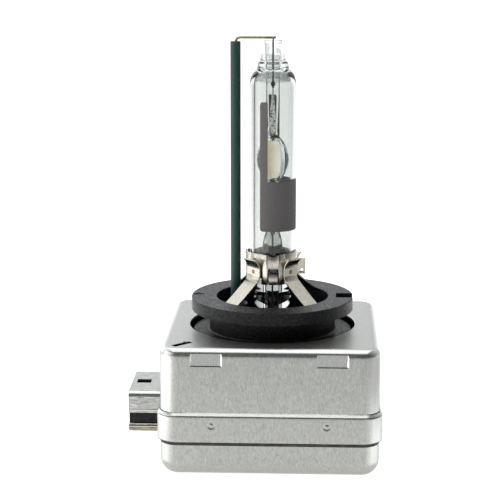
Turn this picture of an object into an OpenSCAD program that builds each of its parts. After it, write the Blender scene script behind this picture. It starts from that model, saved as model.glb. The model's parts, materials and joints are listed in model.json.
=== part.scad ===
// Gas-discharge headlight bulb with its igniter in a sheet-metal can.
// Millimetres. The lamp axis is Z, and z = 0 is the top face of the base ring, the lamp's
// reference plane. The glass points up, the plug socket faces -X and the front is -Y.

/* [Glass burner] */
// Height of the arc above the reference plane
arc_z = 27.1; // [26.8:0.1:27.4]
// Distance between the electrode tips
arc_gap = 4.2; // [4.0:0.1:4.4]
// Outside diameter of the outer bulb
bulb_d = 9.0; // [8.9:0.05:9.05]
// Wall of the outer bulb
bulb_wall = 0.95; // [0.8:0.05:1.1]
// Largest radius of the arc tube
arc_tube_r = 3.1; // [2.9:0.05:3.3]
// Radius of the arc tube's stems
stem_r = 1.3; // [1.2:0.05:1.35]

/* [Anti-glare coating] */
// Lower edge of the coated band
coat_low_z = 13.45; // [12.5:0.05:14]
// Upper edge of the coated band, where the two stripes start
coat_mid_z = 23.2; // [22.5:0.1:24]
// Upper end of the stripes
coat_top_z = 38.5; // [37:0.1:39.5]

/* [Return wire] */
// Distance of the return wire from the lamp axis
return_x = 7.2; // [7:0.1:7.5]
// Height of the wire's cross run above the reference plane
return_z = 50.5; // [50.4:0.1:51]
// Outside diameter of the ceramic sleeve
sleeve_d = 1.98; // [1.8:0.02:2.2]

/* [Burner mount] */
// Sheet thickness of the collar
collar_t = 0.25; // [0.2:0.05:0.3]
// Lower edge of the collar
collar_low_z = 3.1; // [2.8:0.1:3.4]
// Upper edge of the collar
collar_top_z = 9.0; // [8.8:0.1:9.4]
// Width of each strip leg
leg_w = 3.4; // [3:0.1:3.6]
// Sheet thickness of the legs
leg_t = 0.3; // [0.25:0.05:0.35]

/* [Base ring] */
// Radius of the reference ring
ring_r = 15.87; // [15.8:0.01:15.95]
// Thickness of the reference ring
ring_t = 2.5; // [2.3:0.1:2.8]
// Radius of the well inside the ring
well_r = 10.95; // [10.7:0.05:11.1]
// Width of the key slot in the ring's edge
key_w = 3.7; // [3.4:0.1:4]
// Radius of the neck under the ring
neck_r = 12.35; // [12.2:0.05:12.8]

/* [Igniter can] */
// Outside width of the square can
can_w = 41.4; // [41.2:0.1:41.8]
// Height of the can's flat top
can_top_z = -5.55; // [-5.7:0.05:-5.4]
// Height of the can's flat bottom
can_low_z = -30.4; // [-30.8:0.1:-30.2]
// Sheet thickness of the can
sheet_t = 0.5; // [0.4:0.05:0.5]
// Corner radius in plan
can_corner_r = 3.5; // [3.4:0.1:4]
// Radius of the hole that the base passes through
can_hole_r = 16.27; // [16:0.01:16.5]

/* [Plug socket] */
// Width of the socket's metal shield
socket_w = 15.4; // [15:0.1:15.8]
// Distance of the socket's mouth from the lamp axis
socket_mouth_x = 27.8; // [27.4:0.1:28.4]
// Height of the socket's top
socket_top_z = -17.7; // [-17.8:0.05:-17.6]
// Height of the socket's underside
socket_low_z = -25.8; // [-26:0.1:-25.6]

/* [Hidden] */
$fn = 96;
eps = 0.01;
// Gap between pieces that touch
fit = 0.02;

// Glass
bulb_r = bulb_d / 2;
bore_r = bulb_r - bulb_wall;
shoulder_z = 41.9;
top_neck_z = 47.3;
stem_top_z = 49.9;
low_neck_z = -5.2;
stem_low_z = -8.0;
// Outline of the outer bulb as radius and height, from the lower neck up
bulb_outline = [
    [0, low_neck_z], [2.4, low_neck_z], [2.4, -3.2], [2.9, -2.4], [3.7, -1.2],
    [3.75, -0.6], [3.45, 0.2], [3.4, 1.0], [3.6, 1.6], [bulb_r, 3.2],
    [bulb_r, shoulder_z], [4.4, 42.7], [4.05, 43.45], [3.3, 44.3], [3.0, 44.9],
    [3.0, 45.5], [2.8, 45.8], [2.5, 45.8], [2.4, top_neck_z], [0, top_neck_z]
];
// Its cavity, whose floor rises up the stem in a cone
bulb_cavity = [
    [0, 13.0], [1.4, 12.9], [1.65, 11.8], [2.05, 9.4], [2.4, 7.0], [2.9, 5.2],
    [3.3, 4.7], [bore_r, 5.0], [bore_r, 41.4], [3.45, 42.3], [3.1, 43.0], [2.4, 43.8],
    [1.5, 44.4], [0, 44.4]
];
// Radius of the stem's ends where they meet the outer bulb, and at their tips
stem_end_r = [1.62, 1.8];
arc_half = 4.25;
cavity_half = 3.0;
cavity_r = 1.6;
cavity_end_r = 0.9;
electrode_r = 0.15;
lead_r = 0.13;
foil_w = 1.1;
foil_t = 0.1;
// Turn of the foils round the lamp axis
foil_turn = -25;
foil_len = 9.3;
electrode_len = 2.3;
coat_t = 0.06;
// Where the front stripe starts and ends round the bulb, then the rear stripe
coat_turn = [-121, -101, 75, 104];
foil_near = arc_gap / 2 + electrode_len;
foil_far = foil_near + foil_len;

// Return wire
wire_r = 0.3;
wire_bend_r = 0.9;
wire_end_x = 0.6;
wire_low_z = -10.6;
sleeve_top_z = 49.7;
sleeve_low_z = -7.4;
wire_hole_r = wire_r + 0.12;

// Burner mount
collar_in_r = bulb_r + 0.06;
collar_out_r = collar_in_r + collar_t;
collar_turn = 3;
leg_pad_r = collar_out_r + fit + leg_t / 2;
leg_pad_z = [4.9, 5.8];
leg_curl_r = 2.6;
leg_curl_end = 122;
leg_bend_r = 1.8;
leg_slope = 36;
leg_foot_r = 12;
arc_steps = 6;

// Base
base_disc_r = 15.5;
base_disc_z = -6.6;
base_low_z = -9.0;
well_floor_z = -7.5;
key_x = 12.5;
key_y = 0.15;
boss_r = 2.3;
boss_z = -1.6;
guide_r = 3.4;
guide_z = -4.0;
guide_bore_r = 2.5;
foot_hole_r = 1.9;
mark_x = -14.45;
mark_r = 1.1;
mark_depth = 0.15;
contact_z = [-10.9, -9.2];
hv_contact_r = 1.6;
return_contact_r = 0.9;

// Can
can_x = 0.05;
can_y = -0.6;
can_half = can_w / 2;
top_bend_r = 1.6;
low_bend_r = 3.0;
bead_out = 0.55;
bead_z = [-18.45, -17.75];
band_out = 0.6;
band_z = [-23.75, -18.55];
upper_low_z = -23.1;
press_depth = 0.35;
press_size = [5.5, 2.3];
press_z = -7.65;
press_x = 11.8;
dimple_x = 10.8;
dimple_z = -20.1;
dimple_r = 0.6;
dimple_depth = 0.25;
slot_x = -16.45;
slot_y = -17.4;
slot_turn = 45;
slot_size = [4.4, 1.3, 3];
cut_gap = 0.05;

// Plug socket
socket_y = -0.75;
socket_t = 0.4;
socket_bend_r = 1.0;
shield_low_z = -22.0;
tray_top_z = -24.1;
socket_in_x = -19.9;
socket_bore = [12, 4.8];
socket_mid_z = -21.65;
socket_back_x = -20.2;
body_mouth_x = -socket_mouth_x + 0.1;
body_end_x = -18.9;
body_w = socket_w - 2 * socket_t - 2 * fit;
body_z = [socket_low_z + socket_t + fit, socket_top_z - socket_t - fit];
window_size = [2.8, 2.5];
window_x = -25.45;
seal_x = [-26.9, -24.0];
seal_t = 0.55;
pin_side = 0.64;
pin_pitch = 2.54;
pin_count = 4;
pin_tip_x = -23.6;
pin_tail_x = -16.4;

// Igniter housing
housing_w = 39.6;
housing_r = 2.6;
housing_wall = 1.2;
housing_z = [-26.6, -9.1];
cover_t = 1.0;
cover_w = 38;
post_w = 2;
potting_w = 35;
potting_low_z = -29.5;
coil_y = 10;
coil_z = housing_z[0] + 6.1;
coil_len = 30;
core_r = 2.5;
former_r = 3.2;
flange_w = 12;
flange_t = 0.8;
flange_count = 6;
secondary_r = 5.4;
primary_r = 4.6;
section_len = (coil_len - flange_t) / (flange_count - 1);
gap_pos = [10, -13, -18];
gap_r = 3.0;
gap_wall = 1.0;
gap_len = 5;
cap_len = 1.2;
cap_r = 3.1;
resistor_pos = [10, -5, -18];
resistor_r = 1.2;
resistor_len = 6;
resistor_lead_r = 0.3;
resistor_lead_len = 10;
frame_t = 0.5;
frame_z = contact_z[0] - frame_t - fit;
strap_w = 1.2;
bus_w = 2.4;
capacitor_x = -15;
capacitor_y = -17;
capacitor_size = [17, 8, 12];
capacitor_top_z = housing_z[0] + capacitor_size[2];

CLEAR_QUARTZ = [0.86, 0.89, 0.90, 0.4];
TUNGSTEN = [0.35, 0.35, 0.36];
STAINLESS = [0.66, 0.64, 0.60];
TIN_PLATE = [0.72, 0.73, 0.72];
BLACK_PLASTIC = [0.13, 0.13, 0.14];
BRASS = [0.80, 0.66, 0.36];

// ---- shared shapes ----

// Round section through a spindle: a bulge of radius r and half length half on the Z axis
module spindle(r, half, neck) {
    swell = r - neck;
    big_r = (half * half + swell * swell) / (2 * swell);
    rotate_extrude()
        intersection() {
            translate([r - big_r, 0])
                circle(big_r);
            translate([0, -half - neck])
                square([r + 1, 2 * (half + neck)]);
        }
}

// Cylinder between two heights
module rod(r, low, high) {
    translate([0, 0, low])
        cylinder(r = r, h = high - low);
}

// Square prism with round corners
module rounded_prism(w, r, low, high) {
    straight = w - 2 * r;
    translate([0, 0, low])
        linear_extrude(high - low) {
            square([w, straight], center = true);
            square([straight, w], center = true);
            for (sx = [-1, 1])
                for (sy = [-1, 1])
                    translate([sx * straight / 2, sy * straight / 2])
                        circle(r);
        }
}

// Half section of a block whose top edge is bent to radius e
module bent_section(half, e, h) {
    square([half - e, h]);
    square([half, h - e]);
    translate([half - e, h - e])
        intersection() {
            circle(e);
            square(e);
        }
}

// Square block with round corners r and a top edge bent to radius e, standing on z = 0
module bent_block(w, r, e, h) {
    straight = w - 2 * r;
    for (sx = [-1, 1])
        for (sy = [-1, 1])
            translate([sx * straight / 2, sy * straight / 2, 0])
                rotate_extrude()
                    bent_section(r, e, h);
    for (turn = [0, 90])
        rotate(turn)
            rotate([90, 0, 0])
                linear_extrude(straight, center = true) {
                    bent_section(w / 2, e, h);
                    mirror([1, 0])
                        bent_section(w / 2, e, h);
                }
}

// The same block between two heights, with its bent edge on top or underneath
module block_up(w, r, e, low, high) {
    translate([0, 0, low])
        bent_block(w, r, e, high - low);
}

module block_down(w, r, e, low, high) {
    translate([0, 0, high])
        mirror([0, 0, 1])
            bent_block(w, r, e, high - low);
}

// Outline of a strip of thickness t along a line of points
function unit(v) = v / norm(v);
function across(p, i) =
    let (d = unit(p[min(i + 1, len(p) - 1)] - p[max(i - 1, 0)]))
    [-d[1], d[0]];
function strip(p, t) = concat(
    [for (i = [0 : len(p) - 1]) p[i] + across(p, i) * t / 2],
    [for (i = [len(p) - 1 : -1 : 0]) p[i] - across(p, i) * t / 2]
);

// ---- glass burner ----

module outer_bulb() {
    color(CLEAR_QUARTZ)
        difference() {
            rotate_extrude()
                polygon(bulb_outline);
            rotate_extrude()
                polygon(bulb_cavity);
            rod(stem_r + fit, low_neck_z - 1, top_neck_z + 1);
        }
}

module arc_tube() {
    color(CLEAR_QUARTZ)
        difference() {
            union() {
                rod(stem_r, low_neck_z - 2 * fit, top_neck_z + 2 * fit);
                translate([0, 0, arc_z])
                    spindle(arc_tube_r, arc_half, stem_r);
                translate([0, 0, top_neck_z + fit])
                    cylinder(r1 = stem_end_r[0], r2 = stem_end_r[1], h = stem_top_z - top_neck_z - fit);
                translate([0, 0, stem_low_z])
                    cylinder(r1 = stem_end_r[1], r2 = stem_end_r[0], h = low_neck_z - stem_low_z - fit);
            }
            translate([0, 0, arc_z])
                spindle(cavity_r, cavity_half, cavity_end_r);
            rod(electrode_r + fit, arc_z - foil_near, arc_z + foil_near);
            rod(lead_r + fit, arc_z + foil_far - eps, stem_top_z + 1);
            rod(lead_r + fit, stem_low_z - 1, arc_z - foil_far + eps);
            for (side = [-1, 1])
                foil_sheet(side, fit);
        }
}

// Foil above (side 1) or below (side -1) the arc, made larger by grow
module foil_sheet(side, grow) {
    translate([0, 0, arc_z + side * (foil_near + foil_len / 2)])
        rotate(foil_turn)
            cube([foil_w + grow, foil_t + grow, foil_len + grow], center = true);
}

module electrode(side) {
    color(TUNGSTEN)
        translate([0, 0, arc_z + side * (arc_gap / 2 + electrode_len / 2)])
            cylinder(r = electrode_r, h = electrode_len - fit, center = true);
}

module foil(side) {
    color(TUNGSTEN)
        foil_sheet(side, -fit);
}

module upper_lead() {
    color(TUNGSTEN)
        rod(lead_r, arc_z + foil_far + fit, return_z - wire_r - fit);
}

module lower_lead() {
    color(TUNGSTEN)
        rod(lead_r, wire_low_z, arc_z - foil_far - fit);
}

// Film of metal salts lying on the cavity wall, clear of the electrodes
module halide_salts() {
    film = 0.12;
    film_half = 3.4;
    color([0.88, 0.84, 0.72])
        translate([0, 0, arc_z])
            difference() {
                spindle(cavity_r - fit, cavity_half, cavity_end_r - fit);
                spindle(cavity_r - film, cavity_half, cavity_end_r - film);
                rod(2 * cavity_r, -film_half - cavity_half, -film_half);
                rod(2 * cavity_r, film_half, film_half + cavity_half);
            }
}

// Sector of a round shell between two angles and two heights
module shell_sector(from, to, in_r, out_r, low, high) {
    rotate(from)
        rotate_extrude(angle = to - from)
            translate([in_r, low])
                square([out_r - in_r, high - low]);
}

// Band of matt coating on the outer bulb, with a stripe rising from each of its ends
module antiglare_coating() {
    color([0.38, 0.36, 0.36])
        difference() {
            shell_sector(coat_turn[0], coat_turn[3], bulb_r + eps, bulb_r + coat_t,
                coat_low_z, coat_top_z);
            shell_sector(coat_turn[1], coat_turn[2], bore_r, bulb_r + 1, coat_mid_z,
                coat_top_z + 1);
        }
}

// ---- return wire ----

module return_wire() {
    bend_x = -return_x + wire_bend_r;
    bend_z = return_z - wire_bend_r;
    color(BRASS) {
        translate([bend_x, 0, return_z])
            rotate([0, 90, 0])
                cylinder(r = wire_r, h = wire_end_x - bend_x);
        translate([bend_x, 0, bend_z])
            rotate([90, 0, 0])
                rotate(90)
                    rotate_extrude(angle = 90)
                        translate([wire_bend_r, 0])
                            circle(wire_r);
        translate([-return_x, 0, 0])
            rod(wire_r, wire_low_z, bend_z);
    }
}

module return_sleeve() {
    color([0.18, 0.34, 0.31])
        translate([-return_x, 0, 0])
            difference() {
                rod(sleeve_d / 2, sleeve_low_z, sleeve_top_z);
                rod(wire_hole_r, sleeve_low_z - 1, sleeve_top_z + 1);
            }
}

// ---- burner mount ----

// One corrugation: the band pressed out into a hat with slanted sides
module pressed_hat(grow) {
    hat_w = [2.2, 1.1];
    hat_out = 0.5;
    hat_root = 0.8;
    polygon([
        [-hat_w[0] - grow, -collar_out_r + hat_root], [-hat_w[0] - grow, -collar_out_r + hat_root / 2],
        [-hat_w[1] - grow, -collar_out_r - hat_out - grow],
        [hat_w[1] + grow, -collar_out_r - hat_out - grow],
        [hat_w[0] + grow, -collar_out_r + hat_root / 2], [hat_w[0] + grow, -collar_out_r + hat_root]
    ]);
}

module collar_outline() {
    difference() {
        union() {
            circle(collar_out_r);
            for (turn = [0, 180, 270])
                rotate(turn)
                    pressed_hat(0);
        }
        circle(collar_in_r);
        for (turn = [0, 180, 270])
            rotate(turn)
                pressed_hat(-collar_t);
    }
}

module collar() {
    ear_len = 1.7;
    ear_z = [4.3, 7.4];
    ear_t = 0.5;
    ear_root = 0.1;
    ear_hole = [0.95, 5.1];
    ear_hole_r = 0.28;
    slit_w = 0.18;
    slit_x = 0.86;
    slit_top_z = 5.4;
    window_w = 1.5;
    window_z = [5.2, 6.2];
    dip_r = 1.3;
    dip_z = collar_top_z + 0.9;
    color(STAINLESS)
        rotate(collar_turn)
            difference() {
                union() {
                    translate([0, 0, collar_low_z])
                        linear_extrude(collar_top_z - collar_low_z)
                            collar_outline();
                    translate([collar_out_r - ear_root, -ear_t / 2, ear_z[0]])
                        cube([ear_len + ear_root, ear_t, ear_z[1] - ear_z[0]]);
                }
                for (turn = [0, 180, 270])
                    rotate(turn)
                        translate([0, -collar_out_r, 0]) {
                            translate([-window_w / 2, -1, window_z[0]])
                                cube([window_w, 2, window_z[1] - window_z[0]]);
                            for (side = [-1, 1])
                                translate([side * slit_x - slit_w / 2, -1, collar_low_z - 1])
                                    cube([slit_w, 2, slit_top_z - collar_low_z + 1]);
                            translate([0, 0, dip_z])
                                rotate([90, 0, 0])
                                    cylinder(r = dip_r, h = 2, center = true);
                        }
                translate([collar_out_r + ear_hole[0], 0, ear_hole[1]])
                    rotate([90, 0, 0])
                        cylinder(r = ear_hole_r, h = 2, center = true);
            }
}

// Centre line of a leg, as distance from the axis and height
curl_turn = 180 - leg_curl_end;
bend_end = 180 + 90 - leg_slope;
bend_tip = [leg_pad_r + leg_bend_r * (1 + cos(bend_end)), leg_pad_z[0] + leg_bend_r * sin(bend_end)];
leg_line = concat(
    [for (i = [0 : arc_steps])
        let (a = leg_curl_end + curl_turn * i / arc_steps)
        [leg_pad_r + leg_curl_r * (1 + cos(a)), leg_pad_z[1] + leg_curl_r * sin(a)]],
    [for (i = [0 : arc_steps])
        let (a = 180 + (90 - leg_slope) * i / arc_steps)
        [leg_pad_r + leg_bend_r * (1 + cos(a)), leg_pad_z[0] + leg_bend_r * sin(a)]],
    [[leg_foot_r, bend_tip[1] - (leg_foot_r - bend_tip[0]) * tan(leg_slope)]]
);

// A strip leg at an angle round the axis, made thicker and wider by grow
module leg_shape(turn, grow) {
    rotate(turn)
        rotate([90, 0, 0])
            linear_extrude(leg_w + 2 * grow, center = true)
                polygon(strip(leg_line, leg_t + 2 * grow));
}

module leg(turn) {
    color(STAINLESS)
        leg_shape(turn, 0);
}

// ---- base ----

module lamp_base() {
    color(BLACK_PLASTIC)
        difference() {
            union() {
                difference() {
                    union() {
                        rod(ring_r, -ring_t, 0);
                        rod(neck_r, base_disc_z - eps, -ring_t + eps);
                        rod(base_disc_r, base_low_z, base_disc_z);
                    }
                    rod(well_r, well_floor_z, 1);
                }
                translate([-return_x, 0, 0])
                    rod(boss_r, well_floor_z - eps, boss_z);
                rod(guide_r, well_floor_z - eps, guide_z);
            }
            rod(guide_bore_r, well_floor_z + 1, 0);
            rod(foot_hole_r, base_low_z - 1, 0);
            translate([-return_x, 0, 0]) {
                rod(sleeve_d / 2 + fit, sleeve_low_z - fit, 0);
                rod(wire_hole_r, base_low_z - 1, 0);
            }
            translate([key_x, key_y - key_w / 2, -ring_t - 1])
                cube([ring_r, key_w, ring_t + 2]);
            translate([mark_x, 0, -mark_depth])
                cylinder(r = mark_r, h = 1);
            for (turn = [45 : 90 : 315])
                leg_shape(turn, fit);
        }
}

// Spring contacts that the two lamp leads end in
module contact(r, hole_r) {
    color(BRASS)
        difference() {
            rod(r, contact_z[0], contact_z[1]);
            rod(hole_r + fit, contact_z[0] - 1, contact_z[1] + 1);
        }
}

module return_contact() {
    translate([-return_x, 0, 0])
        contact(return_contact_r, wire_r);
}

// ---- can ----

// Opening in the can's left side for the plug socket
module socket_cut(low, high) {
    translate([-can_half - 3, socket_y - socket_w / 2 - cut_gap, low])
        cube([6, socket_w + 2 * cut_gap, high - low]);
}

// Pressed-in rectangles, two on the front and two on the back
module press_marks(depth, back) {
    for (sx = [-1, 1])
        for (sy = [-1, 1])
            translate([can_x + sx * press_x, can_y + sy * (can_half - back), press_z])
                cube([press_size[0], 2 * depth, press_size[1]], center = true);
}

module upper_can() {
    color(TIN_PLATE) {
        difference() {
            translate([can_x, can_y, 0])
                difference() {
                    union() {
                        block_up(can_w, can_corner_r, top_bend_r, upper_low_z, can_top_z);
                        block_up(can_w + 2 * bead_out, can_corner_r + bead_out, bead_out - eps,
                            bead_z[0], bead_z[1]);
                    }
                    block_up(can_w - 2 * sheet_t, can_corner_r - sheet_t, top_bend_r - sheet_t,
                        upper_low_z - 1, can_top_z - sheet_t);
                }
            rod(can_hole_r, can_top_z - 2, can_top_z + 2);
            socket_cut(upper_low_z - 1, socket_top_z + cut_gap);
            press_marks(press_depth, 0);
            translate([slot_x, slot_y, can_top_z])
                rotate(slot_turn)
                    cube(slot_size, center = true);
        }
        press_marks(press_depth / 2, sheet_t + press_depth / 2 - eps);
    }
}

// Clinch dimples that lock the band onto the upper can, two on each of three sides
module clinch_dimples() {
    for (turn = [0, 90, 180])
        rotate(turn)
            for (sx = [-1, 1])
                translate([sx * dimple_x, -can_half - band_out - 1, dimple_z])
                    rotate([-90, 0, 0])
                        cylinder(r = dimple_r, h = 1 + dimple_depth);
}

module lower_can() {
    color(TIN_PLATE)
        difference() {
            translate([can_x, can_y, 0])
                difference() {
                    union() {
                        block_down(can_w + 2 * band_out, can_corner_r + band_out, band_out - eps,
                            band_z[0], band_z[1]);
                        block_down(can_w, can_corner_r, low_bend_r, can_low_z, band_z[0] + 1);
                    }
                    rounded_prism(can_w + 2 * fit, can_corner_r + fit, upper_low_z - 2 * cut_gap,
                        band_z[1] + 1);
                    block_down(can_w - 2 * sheet_t, can_corner_r - sheet_t,
                        low_bend_r - sheet_t, can_low_z + sheet_t, band_z[1] + 1);
                    clinch_dimples();
                }
            socket_cut(socket_low_z - cut_gap, band_z[1] + 1);
        }
}

// ---- plug socket ----

// Rounded bar along X between two X positions
module socket_bar(w, e, x, z) {
    straight = w - 2 * e;
    translate([x[0], socket_y, 0])
        rotate([90, 0, 90])
            linear_extrude(x[1] - x[0]) {
                translate([-straight / 2, z[0]])
                    square([straight, z[1] - z[0]]);
                translate([-w / 2, z[0] + e])
                    square([w, z[1] - z[0] - 2 * e]);
                for (sy = [-1, 1])
                    for (zc = [z[0] + e, z[1] - e])
                        translate([sy * straight / 2, zc])
                            circle(e);
            }
}

module socket_skin(low, high) {
    intersection() {
        difference() {
            socket_bar(socket_w, socket_bend_r, [-socket_mouth_x, socket_in_x],
                [socket_low_z, socket_top_z]);
            socket_bar(socket_w - 2 * socket_t, socket_bend_r - socket_t,
                [-socket_mouth_x - 1, socket_in_x + 1],
                [socket_low_z + socket_t, socket_top_z - socket_t]);
        }
        translate([-socket_mouth_x - 1, socket_y - socket_w, low])
            cube([socket_mouth_x, 2 * socket_w, high - low]);
    }
}

module window_cut(low, high) {
    translate([window_x - window_size[0] / 2, socket_y - window_size[1] / 2, low])
        cube([window_size[0], window_size[1], high - low]);
}

module socket_shield() {
    color(TIN_PLATE)
        difference() {
            socket_skin(shield_low_z, socket_top_z + 1);
            window_cut(socket_top_z - 2, socket_top_z + 1);
        }
}

module socket_tray() {
    color(TIN_PLATE)
        socket_skin(socket_low_z - 1, tray_top_z);
}

// Rectangular bar along X, centred on the socket
module socket_box(size, x) {
    translate([x[0], socket_y - size[0] / 2, socket_mid_z - size[1] / 2])
        cube([x[1] - x[0], size[0], size[1]]);
}

module socket_body() {
    color(BLACK_PLASTIC)
        difference() {
            socket_bar(body_w, socket_bend_r - socket_t, [body_mouth_x, body_end_x], body_z);
            socket_box(socket_bore, [body_mouth_x - 1, socket_back_x]);
            socket_box(socket_bore + [2 * seal_t, 2 * seal_t], seal_x);
            window_cut(socket_mid_z, socket_top_z);
            pin_row(fit, pin_tip_x, pin_tail_x);
        }
}

module plug_seal() {
    color([0.05, 0.25, 0.18])
        difference() {
            socket_box(socket_bore + [2 * seal_t - 2 * fit, 2 * seal_t - 2 * fit],
                seal_x + [fit, -fit]);
            socket_box(socket_bore, seal_x + [-1, 1]);
        }
}

module pin_row(grow, from, to) {
    for (i = [0 : pin_count - 1])
        translate([(from + to) / 2, socket_y + (i - (pin_count - 1) / 2) * pin_pitch, socket_mid_z])
            cube([to - from, pin_side + 2 * grow, pin_side + 2 * grow], center = true);
}

module terminal_pins() {
    color(BRASS)
        pin_row(0, pin_tip_x, pin_tail_x);
}

// ---- igniter ----

module igniter_housing() {
    color(BLACK_PLASTIC)
        difference() {
            translate([can_x, can_y, 0])
                difference() {
                    rounded_prism(housing_w, housing_r, housing_z[0], housing_z[1]);
                    rounded_prism(housing_w - 2 * housing_wall, housing_r - housing_wall,
                        housing_z[0] - 1, housing_z[1] - housing_wall);
                }
            rod(hv_contact_r + fit, housing_z[0], housing_z[1] + 1);
            translate([-return_x, 0, 0])
                rod(return_contact_r + fit, housing_z[0], housing_z[1] + 1);
            socket_cut(housing_z[0] + 1, socket_top_z + cut_gap);
        }
}

// Post from the cover up to a part of radius r
module post(pos, r) {
    translate([pos[0] - post_w / 2, pos[1] - post_w / 2, housing_z[0] - 2 * fit])
        cube([post_w, post_w, pos[2] - r - housing_z[0] + fit]);
}

// Bottom of the housing, with the posts that the spark gap and the resistor sit on
module housing_cover() {
    color(BLACK_PLASTIC) {
        translate([can_x, can_y, 0])
            rounded_prism(cover_w, housing_r, housing_z[0] - cover_t - fit,
                housing_z[0] - fit);
        post(gap_pos, gap_r);
        post(resistor_pos, resistor_r);
    }
}

module potting_slab() {
    color([0.25, 0.22, 0.20])
        translate([can_x, can_y, 0])
            rounded_prism(potting_w, housing_r, potting_low_z, housing_z[0] - cover_t - 2 * fit);
}

// Cylinder along X between two X positions, on the transformer's axis
module coil_rod(r, from, to) {
    translate([from, coil_y, coil_z])
        rotate([0, 90, 0])
            cylinder(r = r, h = to - from);
}

module transformer_core() {
    color([0.2, 0.2, 0.21])
        coil_rod(core_r, -coil_len / 2 - 1, coil_len / 2 + 1);
}

module transformer_bobbin() {
    color([0.75, 0.7, 0.6])
        difference() {
            union() {
                coil_rod(former_r, -coil_len / 2, coil_len / 2);
                for (i = [0 : flange_count - 1])
                    translate([-coil_len / 2 + i * section_len, coil_y - flange_w / 2,
                            coil_z - flange_w / 2])
                        cube([flange_t, flange_w, flange_w]);
            }
            coil_rod(core_r + fit, -coil_len / 2 - 1, coil_len / 2 + 1);
        }
}

// Winding that fills one section of the bobbin
module winding(i, r) {
    from = -coil_len / 2 + i * section_len + flange_t + fit;
    to = -coil_len / 2 + (i + 1) * section_len - fit;
    color([0.72, 0.42, 0.2])
        difference() {
            coil_rod(r, from, to);
            coil_rod(former_r + fit, from - 1, to + 1);
        }
}

module secondary_winding() {
    for (i = [1 : flange_count - 2])
        winding(i, secondary_r);
}

module primary_winding() {
    winding(0, primary_r);
}

module spark_gap_tube() {
    color([0.92, 0.91, 0.88])
        translate(gap_pos)
            rotate([0, 90, 0])
                difference() {
                    cylinder(r = gap_r, h = gap_len, center = true);
                    cylinder(r = gap_r - gap_wall, h = gap_len + 1, center = true);
                }
}

module spark_gap_caps() {
    color(STAINLESS)
        translate(gap_pos)
            for (side = [-1, 1])
                translate([side * (gap_len / 2 + cap_len / 2 + fit), 0, 0])
                    rotate([0, 90, 0])
                        cylinder(r = cap_r, h = cap_len, center = true);
}

module capacitor() {
    color([0.75, 0.6, 0.25])
        translate([capacitor_x, capacitor_y, housing_z[0]])
            cube(capacitor_size);
}

module bleed_resistor() {
    color([0.6, 0.7, 0.75])
        translate(resistor_pos)
            rotate([0, 90, 0]) {
                cylinder(r = resistor_r, h = resistor_len, center = true);
                cylinder(r = resistor_lead_r, h = resistor_lead_len, center = true);
            }
}

// Strap from one terminal pin: up, along X, along Y, then down to what it feeds at height z
module strap(pin, x, y, z) {
    pin_y = socket_y + (pin - (pin_count - 1) / 2) * pin_pitch;
    pin_top_z = socket_mid_z + pin_side / 2 + fit;
    half = strap_w / 2;
    rise_x = pin_tail_x - 2 * half;
    translate([rise_x, pin_y - half, pin_top_z])
        cube([frame_t, strap_w, frame_z + frame_t - pin_top_z]);
    translate([rise_x, pin_y - half, frame_z])
        cube([x + half - rise_x, strap_w, frame_t]);
    translate([x - half, min(y, pin_y) - half, frame_z])
        cube([strap_w, abs(y - pin_y) + strap_w, frame_t]);
    translate([x - half, y - half, z + fit])
        cube([strap_w, strap_w, frame_z + eps - z - fit]);
}

module lead_frame() {
    coil_top_z = coil_z + flange_w / 2;
    winding_top_z = coil_z + secondary_r;
    resistor_top_z = resistor_pos[2] + resistor_r;
    capacitor_mid = [-12, -13];
    color(BRASS)
        difference() {
            union() {
                translate([-bus_w / 2, -strap_w / 2, frame_z])
                    cube([bus_w, coil_y + strap_w, frame_t]);
                translate([-strap_w / 2, coil_y - strap_w / 2, winding_top_z + fit])
                    cube([strap_w, strap_w, frame_z + eps - winding_top_z - fit]);
                strap(0, capacitor_mid[0], capacitor_mid[1], capacitor_top_z);
                strap(1, resistor_pos[0], resistor_pos[1], resistor_top_z);
                strap(2, -return_x, 0, frame_z - 1);
                strap(3, -coil_len / 2 + section_len + flange_t / 2, coil_y, coil_top_z);
            }
            rod(lead_r + fit, frame_z - 1, 0);
            translate([-return_x, 0, 0])
                rod(wire_r + fit, frame_z - 2, 0);
        }
}

outer_bulb();
arc_tube();
electrode(1);  // upper_electrode
electrode(-1);  // lower_electrode
foil(1);  // upper_foil
foil(-1);  // lower_foil
upper_lead();
lower_lead();
halide_salts();
antiglare_coating();
return_wire();
return_sleeve();
collar();
leg(225);  // front_left_leg
leg(315);  // front_right_leg
leg(135);  // rear_left_leg
leg(45);  // rear_right_leg
lamp_base();
contact(hv_contact_r, lead_r);  // hv_contact
return_contact();
upper_can();
lower_can();
socket_shield();
socket_tray();
socket_body();
plug_seal();
terminal_pins();
igniter_housing();
housing_cover();
potting_slab();
transformer_core();
transformer_bobbin();
secondary_winding();
primary_winding();
spark_gap_tube();
spark_gap_caps();
capacitor();
bleed_resistor();
lead_frame();
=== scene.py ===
import json
import math

import bmesh
import bpy
from mathutils import Matrix, Vector


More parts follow.
